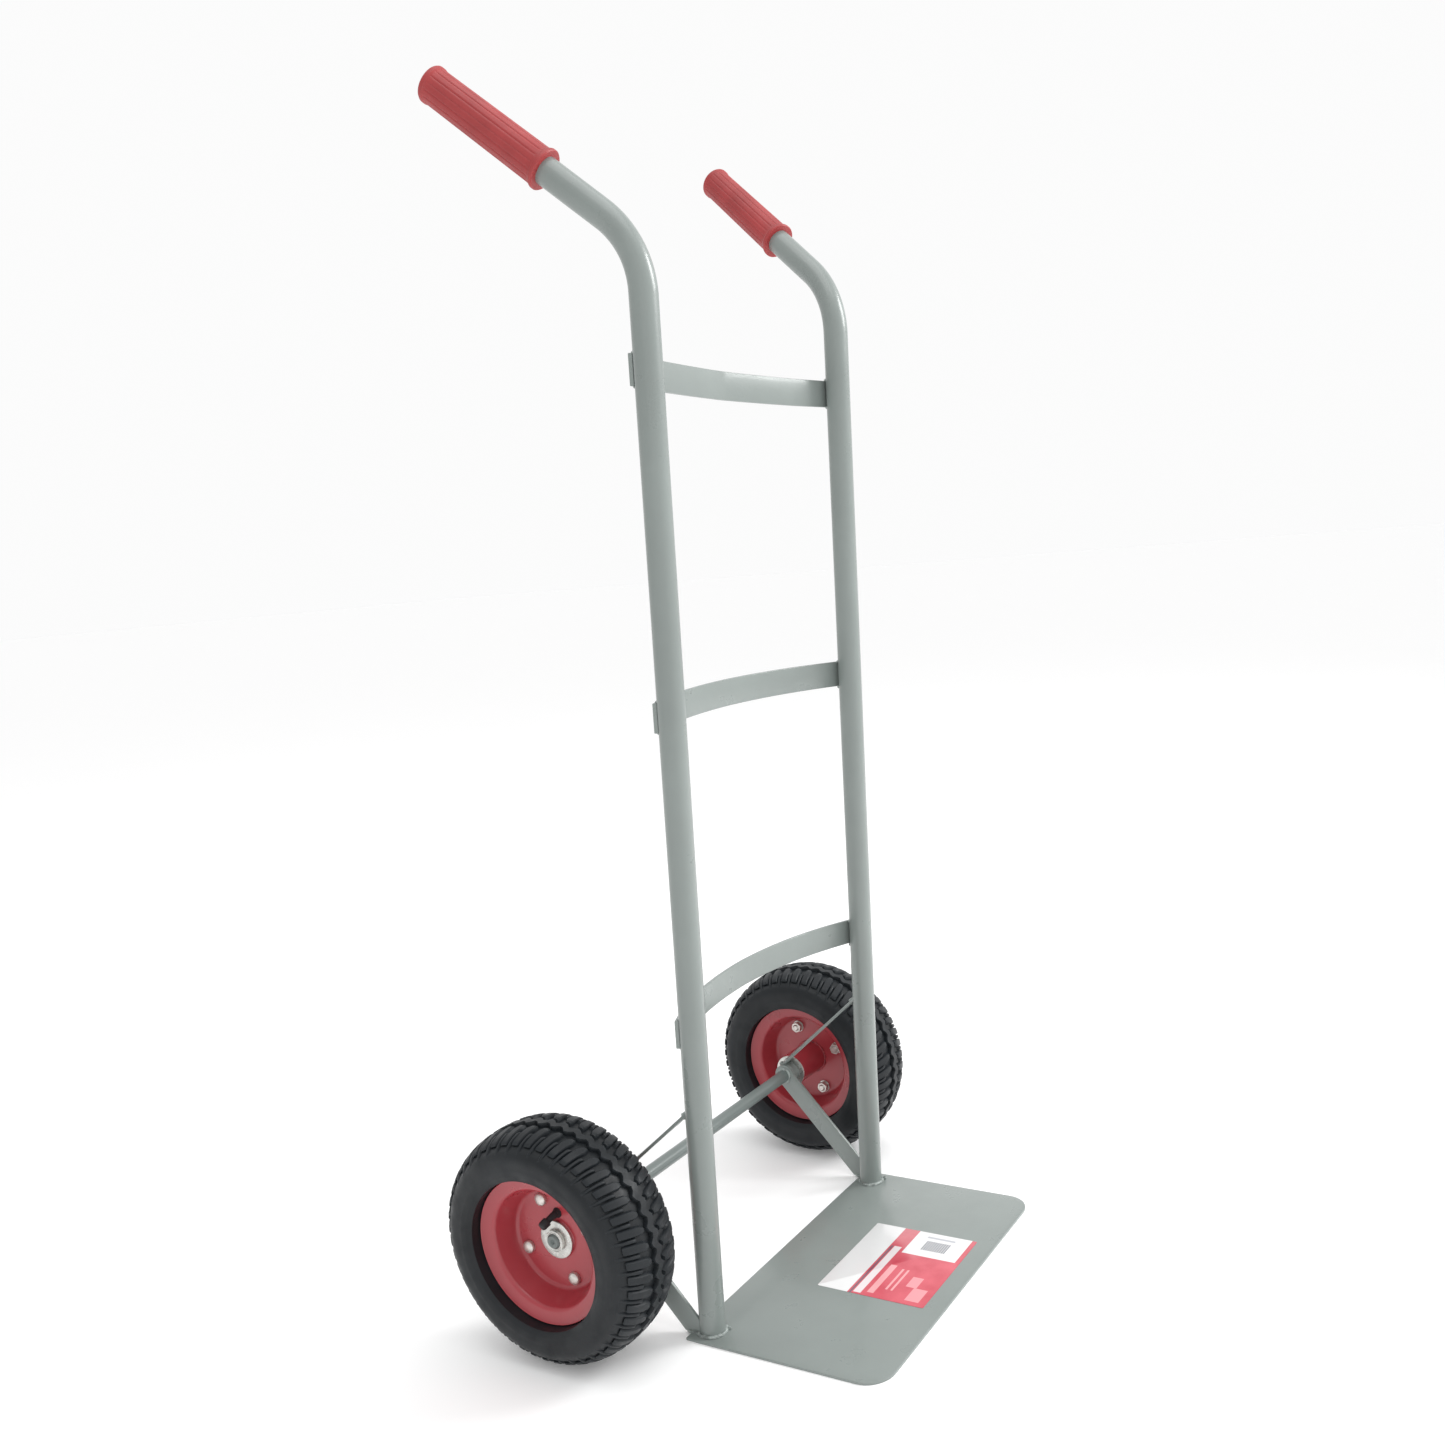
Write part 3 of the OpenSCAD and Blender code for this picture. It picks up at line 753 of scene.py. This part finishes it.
def make_label():
    solid = Solid()
    outline = plate_outline(LABEL_LOW, LABEL_HIGH, 2, 2, 4)
    plate(solid, outline, LABEL_LOW.z, LABEL_HIGH.z, 0.1)
    solid.object("visual_label", label_print(), FRAME, ["plate_label"])


def make_foot_welds():
    """A bead round each tube's foot and a blob where it stops."""
    for side, word in SIDES:
        solid = Solid()
        centre = at_tube(side) @ Vector((0, 0, PLATE_TOP))
        path = []
        for k in range(33):
            around = radians(-200 + 330 * k / 32)
            path.append((centre.x + side * (TUBE_R + 0.8) * cos(around),
                         centre.y + (TUBE_R + 0.8) * sin(around), PLATE_TOP + 0.4))
        bead(solid, path, 2.5, seed=3 + side)
        blob = centre + Vector((7.5 if side == LEFT else 7, -TUBE_R - 0.5, 1.2))
        bead(solid, [blob, blob + Vector((4.5, -1.5, -0.6))], 3.0, seed=8 + side, pitch=3)
        solid.object("weld_foot_" + word, weld, FRAME, sharp=60)


# ---------------------------------------------------------------- braces, axle and collars

def make_lower_brace(side, word):
    foot = Vector((BRACE_FOOT_Y - WHEEL.y, PLATE_TOP - WHEEL.z))
    along = foot.normalized()
    across = Vector((-along.y, along.x))
    half = BRACE_WIDTH / 2
    join = sqrt(COLLAR_R ** 2 - half ** 2)
    opening = asin(half / COLLAR_R)
    heading = atan2(along.y, along.x)
    outline = []
    for k in range(25):
        around = heading + opening + (2 * pi - 2 * opening) * k / 24
        outline.append((COLLAR_R * cos(around), COLLAR_R * sin(around)))
    for edge in (-half, half):
        base = along * join + across * edge
        reach = (PLATE_TOP - WHEEL.z - base.y) / along.y
        outline.append(tuple(base + along * reach))
    start = side * BRACE_X if side == LEFT else -BRACE_X - BRACE_THICKNESS
    # the outline's x and y are the frame's y and z about the axle, and the plate's z is its x
    cyclic = Matrix(((0, 0, 1, start), (1, 0, 0, WHEEL.y), (0, 1, 0, WHEEL.z), (0, 0, 0, 1)))
    solid = Solid()
    plate(solid, outline, 0, BRACE_THICKNESS, 0.7, place=cyclic)
    solid.object("visual_lower_brace_" + word, paint, FRAME,
                 ["lower_brace_" + word])
    welds = Solid()
    for x in (BRACE_X - 0.4, BRACE_X + BRACE_THICKNESS + 0.4):
        path = [(side * x, BRACE_FOOT_Y + d, PLATE_TOP + 0.3) for d in (-5, 2, 9, 14)]
        bead(welds, path, 1.9, seed=x + side)
    path = []
    for k in range(28):
        around = 2 * pi * k / 28
        path.append((side * (BRACE_X - 0.2), WHEEL.y + (AXLE_R + 0.8) * cos(around),
                     WHEEL.z + (AXLE_R + 0.8) * sin(around)))
    bead(welds, path, 1.9, seed=5 + side, closed=True)
    welds.object("weld_lower_brace_" + word, weld, FRAME, sharp=60)


def make_upper_brace(side, word):
    back = TUBE_R / cos(LEAN) - STRAP_TOP * tan(LEAN)
    start = Vector((side * TUBE_X, back, STRAP_TOP))
    seat_r = COLLAR_R - 0.5
    end = Vector((side * (COLLAR_X + COLLAR_LENGTH / 2),
                  WHEEL.y + seat_r * cos(STRAP_SEAT), WHEEL.z + seat_r * sin(STRAP_SEAT)))
    run = end - start
    length = run.length + STRAP_OVERLAP
    base = Matrix.Translation(start) @ turn(atan2(-run.y, run.z), "X")
    base = base @ turn(asin(run.x / run.length), "Y") @ shift(0, 0, -STRAP_OVERLAP)
    frames = []
    steps = 40
    for i in range(steps + 1):
        t = i / steps
        narrow = Matrix.Diagonal((1 - 0.4 * t, 1, 1, 1))
        frames.append(base @ shift(0, 0, length * t) @ turn(-STRAP_TWIST * t, "Z") @ narrow)
    solid = Solid()
    solid.sweep(bar_section(STRAP_WIDTH, STRAP_THICKNESS, 0.8), frames)
    solid.object("visual_upper_brace_" + word, paint, FRAME,
                 ["upper_brace_" + word], 40)
    welds = Solid()
    for edge in (-1, 1):
        near = base @ shift(0, 0, STRAP_OVERLAP + 1) @ Vector((edge * 8, 0, 0))
        far = base @ shift(0, 0, STRAP_OVERLAP + 1) @ Vector((-edge * 8, 0, 0))
        offset = (base.to_3x3() @ Vector((0, edge, 0))) * 2.3
        bead(welds, [near + offset, far + offset], 1.8, seed=11 + edge + side)
    tip = end + (run.normalized() * -2)
    bead(welds, [tip + Vector((-4, 1.5, 1.5)), tip + Vector((4, 1.5, 1.5))], 2.0, seed=17 + side)
    welds.object("weld_upper_brace_" + word, weld, FRAME, sharp=60)


def make_axle():
    half = (AXLE_HIGH.x - AXLE_LOW.x) / 2
    outline = [(0.2, -half + 2.2), (1.6, -half + 1.6), (2.4, -half + 0.3), (2.9, -half)]
    outline += rounded([(AXLE_R - 1.5, -half), (AXLE_R, -half + 1.5)], 0)
    outline += [(AXLE_R, -half + 4 + k * (2 * half - 8) / 8) for k in range(9)]
    outline += [(AXLE_R, half - 1.5), (AXLE_R - 1.5, half)]
    outline += [(2.9, half), (2.4, half - 0.3), (1.6, half - 1.6), (0.2, half - 2.2)]
    solid = Solid()
    solid.lathe(outline, 64, False, shift(0, WHEEL.y, WHEEL.z) @ turn(pi / 2, "Y"))
    solid.object("visual_axle", axle_paint, FRAME, ["axle"])


def make_axle_stack():
    """Collars, washers and retaining rings, outward from each lower brace."""
    inner_washers = Solid()
    outer_washers = Solid()
    rings = Solid()
    for side, word in SIDES:
        place = at_wheel(side)
        back = COLLAR_X - WHEEL.x
        collar = Solid()
        outline = ring_outline(COLLAR_R, AXLE_R + 0.1, back, back + COLLAR_LENGTH, 1.0)
        collar.lathe(outline, 64, place=place)
        collar.object("visual_axle_collar_" + word, paint, FRAME,
                      ["axle_collar_" + word])
        back += COLLAR_LENGTH
        inner_washers.lathe(ring_outline(WASHER_R, AXLE_R + 0.1, back, back + WASHER_THICKNESS, 0.5),
                            72, place=place)
        front = HUB_FRONT + END_PLAY
        back_of_ring = front + WASHER_THICKNESS
        outer_washers.lathe(ring_outline(WASHER_R, AXLE_R + 0.1, front, back_of_ring, 0.5), 72,
                            place=place)
        # a plain shaft ring: a collar with a shallow groove round its face
        face = back_of_ring + SHAFT_RING_LENGTH
        outline = rounded([(AXLE_R + 0.1, back_of_ring), (SHAFT_RING_R, back_of_ring),
                           (SHAFT_RING_R, face)], 0.6, 3, False)
        outline += [(11.2, face), (10.6, face - 0.5), (9.8, face - 0.5), (9.2, face)]
        outline += [(AXLE_R + 0.6, face), (AXLE_R + 0.1, face - 0.5)]
        rings.lathe(outline, 64, place=place)
    inner_washers.object("visual_inner_washers", zinc, FRAME, ["inner_washers"])
    outer_washers.object("visual_outer_washers", zinc, FRAME, ["outer_washers"])
    rings.object("visual_retaining_rings", zinc, FRAME, ["retaining_rings"])


# ---------------------------------------------------------------- tyres

TREAD_DEPTH = 5.0
LUG_ROOT = 1.2
LUG_EDGE = 0.9
RIB_SWING = 2.6
LUG_SLANT = 0.012
PITCHES = 48
SECTION_POWER = 0.8
CARCASS_MID_R = (RIM_SEAT_R - BEAD_SEAT_LIP + WHEEL_R) / 2
CARCASS_HALF_HEIGHT = WHEEL_R - CARCASS_MID_R


def power(value):
    return abs(value) ** SECTION_POWER * (1 if value >= 0 else -1)


def section_point(angle, sink=0.0, half_height=CARCASS_HALF_HEIGHT, half_width=TYRE_HALF_WIDTH):
    """(radius, z) on the tyre's oval section, sunk inward. Angle 0 is the middle of the tread."""
    r = half_height * power(cos(angle))
    z = half_width * power(sin(angle))
    size = hypot(r, z)
    return CARCASS_MID_R + r * (1 - sink / size), z * (1 - sink / size)


def tread_angle(mm):
    """Section angle at a distance across the tread from its middle, measured along the surface."""
    sign = 1 if mm >= 0 else -1
    left = abs(mm)
    angle = 0.0
    step = 0.004
    r, z = section_point(angle)
    while left > 0:
        angle += step
        r2, z2 = section_point(angle)
        left -= hypot(r2 - r, z2 - z)
        r, z = r2, z2
    return sign * angle


# Section angles where the groove floor starts to rise and where it meets the sidewall
RISE_START = tread_angle(30)
RISE_END = tread_angle(58)

# Section angles for every quarter millimetre across the tread
TREAD_ANGLES = {i: tread_angle(i / 4) for i in range(-220, 221)}


def carcass_sink(angle):
    """Full tread depth across the crown, running out to nothing down the sidewall."""
    t = (abs(angle) - RISE_START) / (RISE_END - RISE_START)
    t = min(1.0, max(0.0, t))
    return TREAD_DEPTH * (1 - t * t * (3 - 2 * t))


def tyre_point(around, mm, height):
    """A point on the tread, from its angle round the wheel, mm across and height over the floor."""
    r, z = section_point(TREAD_ANGLES[round(mm * 4)], max(0.0, TREAD_DEPTH - height))
    return r * cos(around), r * sin(around), z


def lug(solid, place, across, start, stop, top=TREAD_DEPTH):
    """One tread block, rooted under the groove floor.

    across lists mm across the tread. start and stop give its two walls, in pitches round the wheel.
    """
    pitch = 2 * pi / PITCHES
    soft = LUG_EDGE / WHEEL_R
    rings = []
    for i, mm in enumerate(across):
        a = start(mm) * pitch
        b = stop(mm) * pitch
        full = top - 1.1 if i in (0, len(across) - 1) else top
        profile = ((a - soft, -LUG_ROOT), (a, full - 1), (a + soft, full), ((a + b) / 2, full + 0.15),
                   (b - soft, full), (b, full - 1), (b + soft, -LUG_ROOT))
        rings.append([tyre_point(angle, mm, min(height, TREAD_DEPTH)) for angle, height in profile])
    solid.loft(rings, place=place)


def make_tread(solid, place):
    """Zigzag centre rib, with a large and a small shoulder block on each side at every pitch."""
    rings = []
    steps = PITCHES * 4
    for i in range(steps):
        around = 2 * pi * i / steps
        swing = RIB_SWING * (1 if i % 4 < 2 else -1) * (0.5 if i % 2 == 0 else 1.0)
        profile = ((-5.4, -LUG_ROOT), (-4.6, TREAD_DEPTH - 1), (-3.8, TREAD_DEPTH), (0, TREAD_DEPTH),
                   (3.8, TREAD_DEPTH), (4.6, TREAD_DEPTH - 1), (5.4, -LUG_ROOT))
        rings.append([tyre_point(around, mm + swing, h) for mm, h in profile])
    solid.loft(rings, closed=True, place=place)
    for side in (-1, 1):
        big = [side * m for m in (11, 12.5, 16, 20, 24, 28, 32, 36, 39.5, 41.5)]
        small = [side * m for m in (24, 26, 29, 32, 36, 40, 44, 48, 51, 53)]
        for i in range(PITCHES):
            base = i + 0.25 * side

            def slant(mm, at, base=base):
                return base + at + LUG_SLANT * (abs(mm) - 10)

            # the large block narrows toward the rib
            lug(solid, place, big, lambda mm: slant(mm, -0.27 + 0.10 * (abs(mm) < 13)),
                lambda mm: slant(mm, 0.27 - 0.12 * (abs(mm) < 13)))
            lug(solid, place, small, lambda mm: slant(mm, 0.38), lambda mm: slant(mm, 0.62),
                TREAD_DEPTH - 0.7)


def make_tyre(side, word):
    place = at_wheel(side)
    drop = (CARCASS_MID_R - RIM_FLANGE_R) / CARCASS_HALF_HEIGHT
    limit = pi - acos(drop ** (1 / SECTION_POWER))
    outer = []
    steps = 72
    for i in range(steps + 1):
        angle = -limit + 2 * limit * i / steps
        r, z = section_point(angle, carcass_sink(angle))
        # raised rings on each sidewall, each a radius, a half width and a height
        for ring_r, width, height in ((113.0, 1.6, 0.5), (92.5, 1.3, 0.6), (88.5, 1.0, 0.45)):
            near = max(0.0, 1 - abs(r - ring_r) / width)
            z += height * near * (1 if z > 0 else -1) * (abs(z) > 30)
        outer.append((r, z))
    half_gap = RIM_FLANGE_GAP / 2
    bead_side = [(RIM_FLANGE_R, half_gap), (RIM_SEAT_R, half_gap), (RIM_SEAT_R, BEAD_OPENING / 2)]
    cavity = []
    for i in range(33):
        angle = CAVITY_REACH * (1 - 2 * i / 32)
        r, z = section_point(angle, 0, CAVITY_HALF_HEIGHT, TYRE_HALF_WIDTH - SIDE_WALL)
        cavity.append((r - CARCASS_MID_R + CAVITY_MID_R, z))
    outline = outer + bead_side + cavity + [(r, -z) for r, z in bead_side[::-1]]
    solid = Solid()
    solid.lathe(outline, 240, place=place)
    make_tread(solid, place)
    solid.object("visual_tyre_" + word, rubber, "wheel_" + word, ["tyre_" + word], 38)


# ---------------------------------------------------------------- rims and hubs

RIM_LINE = [(HUB_R - 0.5, 1), (57.4, 1), (66, 28), (80, 30.5)]
RIM_BENDS = [0, 6, 5, 0]


def rim_outline(face):
    line = rounded(RIM_LINE, RIM_BENDS, 6, False)
    line[-1:] = [(79.2, 30.3), (80.3, 30.9), (81.0, 31.4)]
    return [(r, z * face) for r, z in sheet_outline(line, RIM_SHEET)]


def make_rim(side, word):
    place = at_wheel(side)
    for name, face in (("outer", 1), ("inner", -1)):
        solid = Solid()
        solid.lathe(rim_outline(face), 128, place=place)
        solid.object("visual_rim_" + name + "_" + word, rim_paint, "wheel_" + word,
                     ["rim_" + name + "_" + word], 36)
    hub = Solid()
    outline = [(17.5, HUB_BACK), (HUB_R - 0.8, HUB_BACK), (HUB_R, HUB_BACK + 0.8),
               (HUB_R, -4.2), (HUB_R + 0.6, -3.0), (HUB_R + 1.9, -2.0), (HUB_R, -1.9),
               (HUB_R, 1.9), (HUB_R + 0.9, 2.0), (HUB_R, 2.9), (HUB_R - 0.6, HUB_FRONT),
               (17.5, HUB_FRONT), (17.5, HUB_FRONT - 11), (16.5, HUB_FRONT - 11),
               (16.5, HUB_BACK + 11), (17.5, HUB_BACK + 11)]
    hub.lathe(outline, 96, place=place)
    hub.object("visual_hub_sleeve_" + word, rim_paint, "wheel_" + word,
               ["hub_sleeve_" + word])
    welds = Solid()
    path = []
    for k in range(56):
        around = 2 * pi * k / 56
        path.append(place @ Vector(((HUB_R + 0.7) * cos(around), (HUB_R + 0.7) * sin(around), -2.7)))
    bead(welds, path, 1.7, seed=21 + side, pitch=2.6, closed=True)
    welds.object("weld_hub_" + word, rim_weld, "wheel_" + word, sharp=60)


def at_bolts(side):
    places = []
    for i in range(4):
        around = turn(BOLT_ANGLE + pi / 2 * i, "Z")
        places.append(at_wheel(side) @ around @ shift(BOLT_CIRCLE_R, 0, 0))
    return places


def make_bolts(side, word):
    body = "wheel_" + word
    bolts = Solid()
    nuts = Solid()
    washers = Solid()
    thread = []
    for k in range(9):
        thread += [(3.95, -10.6 + k * 0.9), (3.45, -10.15 + k * 0.9)]
    for place in at_bolts(side):
        outline = [(0.1, -11.5), (3.0, -11.5)] + thread
        outline += [(3.95, -2.4), (3.95, 1.95), (6.7, 2.0), (7.0, 2.3), (7.0, 5.0), (6.75, 5.6),
                    (6.0, 6.3), (4.6, 6.9), (3.0, 7.3), (1.6, 7.45), (0.1, 7.5)]
        bolts.lathe(outline, 40, False, place)
        washers.lathe(ring_outline(8, 4.2, -3.2, -2, 0.3), 48, place=place)
        make_nut(nuts, place)
    bolts.object("visual_rim_bolts_" + word, bolt_zinc, body, ["rim_bolts_" + word])
    washers.object("visual_rim_washers_" + word, zinc, body, ["rim_washers_" + word])
    nuts.object("visual_rim_nuts_" + word, bolt_zinc, body, ["rim_nuts_" + word], 28)


def make_nut(solid, place):
    """Hexagon nut with both faces chamfered round, behind the inner rim half."""
    segments = 48
    face_r = 6.5
    back = -3.2
    height = 6.5
    rings = [[] for _ in range(6)]
    for i in range(segments):
        around = 2 * pi * i / segments
        within = (around + pi / 6) % (pi / 3) - pi / 6
        corner = face_r / cos(within)
        cut = (corner - face_r * 0.97) * tan(radians(30))
        for ring, (r, z) in zip(rings, ((4.05, back), (face_r * 0.97, back), (corner, back - cut),
                                        (corner, back - height + cut),
                                        (face_r * 0.97, back - height), (4.6, back - height))):
            ring.append((r * cos(around), r * sin(around), z))
    rings.append([(4.05 * x, 4.05 * y, back - height + 0.6) for x, y in circle(1, segments)])
    solid.loft(rings, closed=True, place=place)


def spline(marks, i, t):
    """Point and slope at t from marks[i] to marks[i + 1], on the smooth curve through all the marks."""
    p0 = marks[max(i - 1, 0)]
    p1 = marks[i]
    p2 = marks[i + 1]
    p3 = marks[min(i + 2, len(marks) - 1)]
    square = 2 * p0 - 5 * p1 + 4 * p2 - p3
    cube = 3 * p1 - p0 - 3 * p2 + p3
    point = 0.5 * (2 * p1 + (p2 - p0) * t + square * t * t + cube * t ** 3)
    slope = 0.5 * ((p2 - p0) + 2 * square * t + 3 * cube * t * t)
    return point, slope.normalized()


def make_valve_stem(word, place, marks):
    """Bent rubber stem: out through the disc beside the hub, leaning toward the axle."""
    radii = (3.5, 3.5, 3.6, 4.0, 4.2, 4.1, 3.6, 3.2)
    rings = []
    steps = 8
    for i in range(len(marks) - 1):
        for k in range(steps + (i == len(marks) - 2)):
            t = k / steps
            point, slope = spline(marks, i, t)
            up = slope.cross(Vector((0, 1, 0))).normalized()
            across = up.cross(slope)
            radius = radii[i] + (radii[i + 1] - radii[i]) * t
            rings.append([point + across * x + up * y for x, y in circle(radius, 28)])
    stem = Solid()
    stem.loft(rings, place=place)
    foot = place @ shift(29.4, 0, 0)
    outline = [(0.2, 1.9), (5.6, 1.9), (5.8, 2.4), (5.3, 3.2), (4.7, 4.2), (4.3, 5.6), (0.2, 5.6)]
    stem.lathe(outline, 40, False, foot)
    stem.object("visual_valve_stem_" + word, valve_rubber, "wheel_" + word,
                ["valve_stem_" + word])


def make_valve_cap(word, place, marks):
    """Ribbed plastic cap over the stem's end."""
    heading = (marks[-1] - marks[-2]).normalized()
    aim = heading.to_track_quat("Z", "X").to_matrix().to_4x4()
    tip = Matrix.Translation(marks[-1] - heading * 2.5) @ aim
    rings = []
    count = 4 * CAP_RIBS
    for z, radius, depth in ((0, 4.6, 0), (0.5, 5.1, 0), (1.4, 5.2, 0.35), (6.6, 5.0, 0.35),
                             (7.4, 4.8, 0), (8.6, 4.2, 0), (9.3, 3.2, 0), (9.6, 1.2, 0)):
        rings.append([((radius - depth * (i % 4 == 0)) * cos(2 * pi * i / count),
                       (radius - depth * (i % 4 == 0)) * sin(2 * pi * i / count), z)
                      for i in range(count)])
    cap = Solid()
    cap.loft(rings, place=place @ tip)
    cap.object("visual_valve_cap_" + word, cap_plastic, "wheel_" + word,
               ["valve_cap_" + word])


def make_valve(side, word):
    """The stem runs in from the inner tube behind the disc, then bends out beside the hub."""
    place = at_wheel(side) @ turn(VALVE_ANGLE, "Z")
    marks = [Vector(p) for p in ((70.5, 0, -7), (52, 0, -7), (36, 0, -7), (31, 0, -4.5),
                                 (29.8, -0.3, 0), (29.2, 0.2, 5), (27.2, 1.6, 10.5),
                                 (24.0, 3.4, 16.5))]
    make_valve_stem(word, place, marks)
    make_valve_cap(word, place, marks)


# ---------------------------------------------------------------- pieces kept from the CAD

def finish_cad_nodes():
    """Bearings, spacers and inner tubes keep their CAD shape and get their materials."""
    for side, word in SIDES:
        for name, material in (("bearing_inner_races_", steel), ("bearing_outer_races_", steel),
                               ("bearing_balls_", steel), ("bearing_spacer_", steel),
                               ("bearing_cages_", cage_plastic), ("bearing_seals_", seal_rubber),
                               ("inner_tube_", tube_rubber)):
            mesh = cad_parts[name + word].data
            mesh.materials.clear()
            mesh.materials.append(material)


make_camera()
make_studio()
finish_cad_nodes()
make_toe_plate()
make_label()
make_foot_welds()
make_axle()
make_axle_stack()
make_bar_welds()
for bar_name, bar_level, bar_bow in BARS:
    make_crossbar(bar_name, bar_level, bar_bow)
for tube_side, tube_word in SIDES:
    make_side_tube(tube_side, tube_word)
    make_grip(tube_side, tube_word)
    make_lower_brace(tube_side, tube_word)
    make_upper_brace(tube_side, tube_word)
    make_tyre(tube_side, tube_word)
    make_rim(tube_side, tube_word)
    make_bolts(tube_side, tube_word)
    make_valve(tube_side, tube_word)
